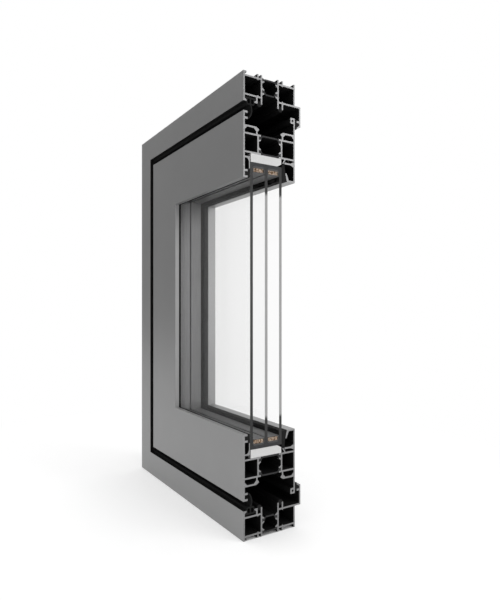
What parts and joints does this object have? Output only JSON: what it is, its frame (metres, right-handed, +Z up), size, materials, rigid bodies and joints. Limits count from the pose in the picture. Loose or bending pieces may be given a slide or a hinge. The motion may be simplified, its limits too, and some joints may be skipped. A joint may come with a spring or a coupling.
{
  "type": "cut-away corner sample of an aluminium bi-fold door",
  "caption": "Section sample of an aluminium bi-fold door: left jamb, head and sill of frame and leaf with glazing, cut off on the right to show hollow profiles, thermal breaks and seals.",
  "frame": {"origin": "centre of the bounding box at its bottom, on the surface that the sill stands on", "axes": "+Z up, +Y from the outside of the door to its inside, +X from the left jamb to the cut end"},
  "size_m": [0.293, 0.086, 0.542],
  "materials": {
    "coated_aluminium": "fine matt powder coat in dark grey, bare bright aluminium on the cut ends",
    "polyamide": "black glass-filled polyamide",
    "seal_rubber": "matt black rubber",
    "white_foam": "white closed-cell foam",
    "sealant": "dark insulating glass sealant",
    "spacer": "satin grey spacer bar",
    "desiccant": "tan drying grains",
    "clear_glass": "clear float glass with cut edges"
  },
  "bodies": {
    "root": {"frame_outer_head": "coated_aluminium", "frame_outer_jamb": "coated_aluminium", "frame_outer_sill": "coated_aluminium", "frame_inner_head": "coated_aluminium", "frame_inner_jamb": "coated_aluminium", "frame_inner_sill": "coated_aluminium", "frame_thermal_break_head": "polyamide", "frame_thermal_break_jamb": "polyamide", "frame_thermal_break_sill": "polyamide", "leaf_outer_head": "coated_aluminium", "leaf_outer_jamb": "coated_aluminium", "leaf_outer_sill": "coated_aluminium", "leaf_inner_head": "coated_aluminium", "leaf_inner_jamb": "coated_aluminium", "leaf_inner_sill": "coated_aluminium", "leaf_thermal_break_head": "polyamide", "leaf_thermal_break_jamb": "polyamide", "leaf_thermal_break_sill": "polyamide", "glazing_bead_head": "coated_aluminium", "glazing_bead_jamb": "coated_aluminium", "glazing_bead_sill": "coated_aluminium", "rebate_seal_head": "seal_rubber", "rebate_seal_jamb": "seal_rubber", "rebate_seal_sill": "seal_rubber", "flange_seal_head": "seal_rubber", "flange_seal_jamb": "seal_rubber", "flange_seal_sill": "seal_rubber", "outer_glazing_seal_head": "seal_rubber", "outer_glazing_seal_jamb": "seal_rubber", "outer_glazing_seal_sill": "seal_rubber", "inner_glazing_seal_head": "seal_rubber", "inner_glazing_seal_jamb": "seal_rubber", "inner_glazing_seal_sill": "seal_rubber", "foam_strip_head": "white_foam", "foam_strip_jamb": "white_foam", "foam_strip_sill": "white_foam", "edge_sealant_head": "sealant", "edge_sealant_jamb": "sealant", "edge_sealant_sill": "sealant", "spacer_bar_head": "spacer", "spacer_bar_jamb": "spacer", "spacer_bar_sill": "spacer", "desiccant_head": "desiccant", "desiccant_jamb": "desiccant", "desiccant_sill": "desiccant", "outside_pane": "clear_glass", "middle_pane": "clear_glass", "inside_pane": "clear_glass"}
  },
  "joints": []
}
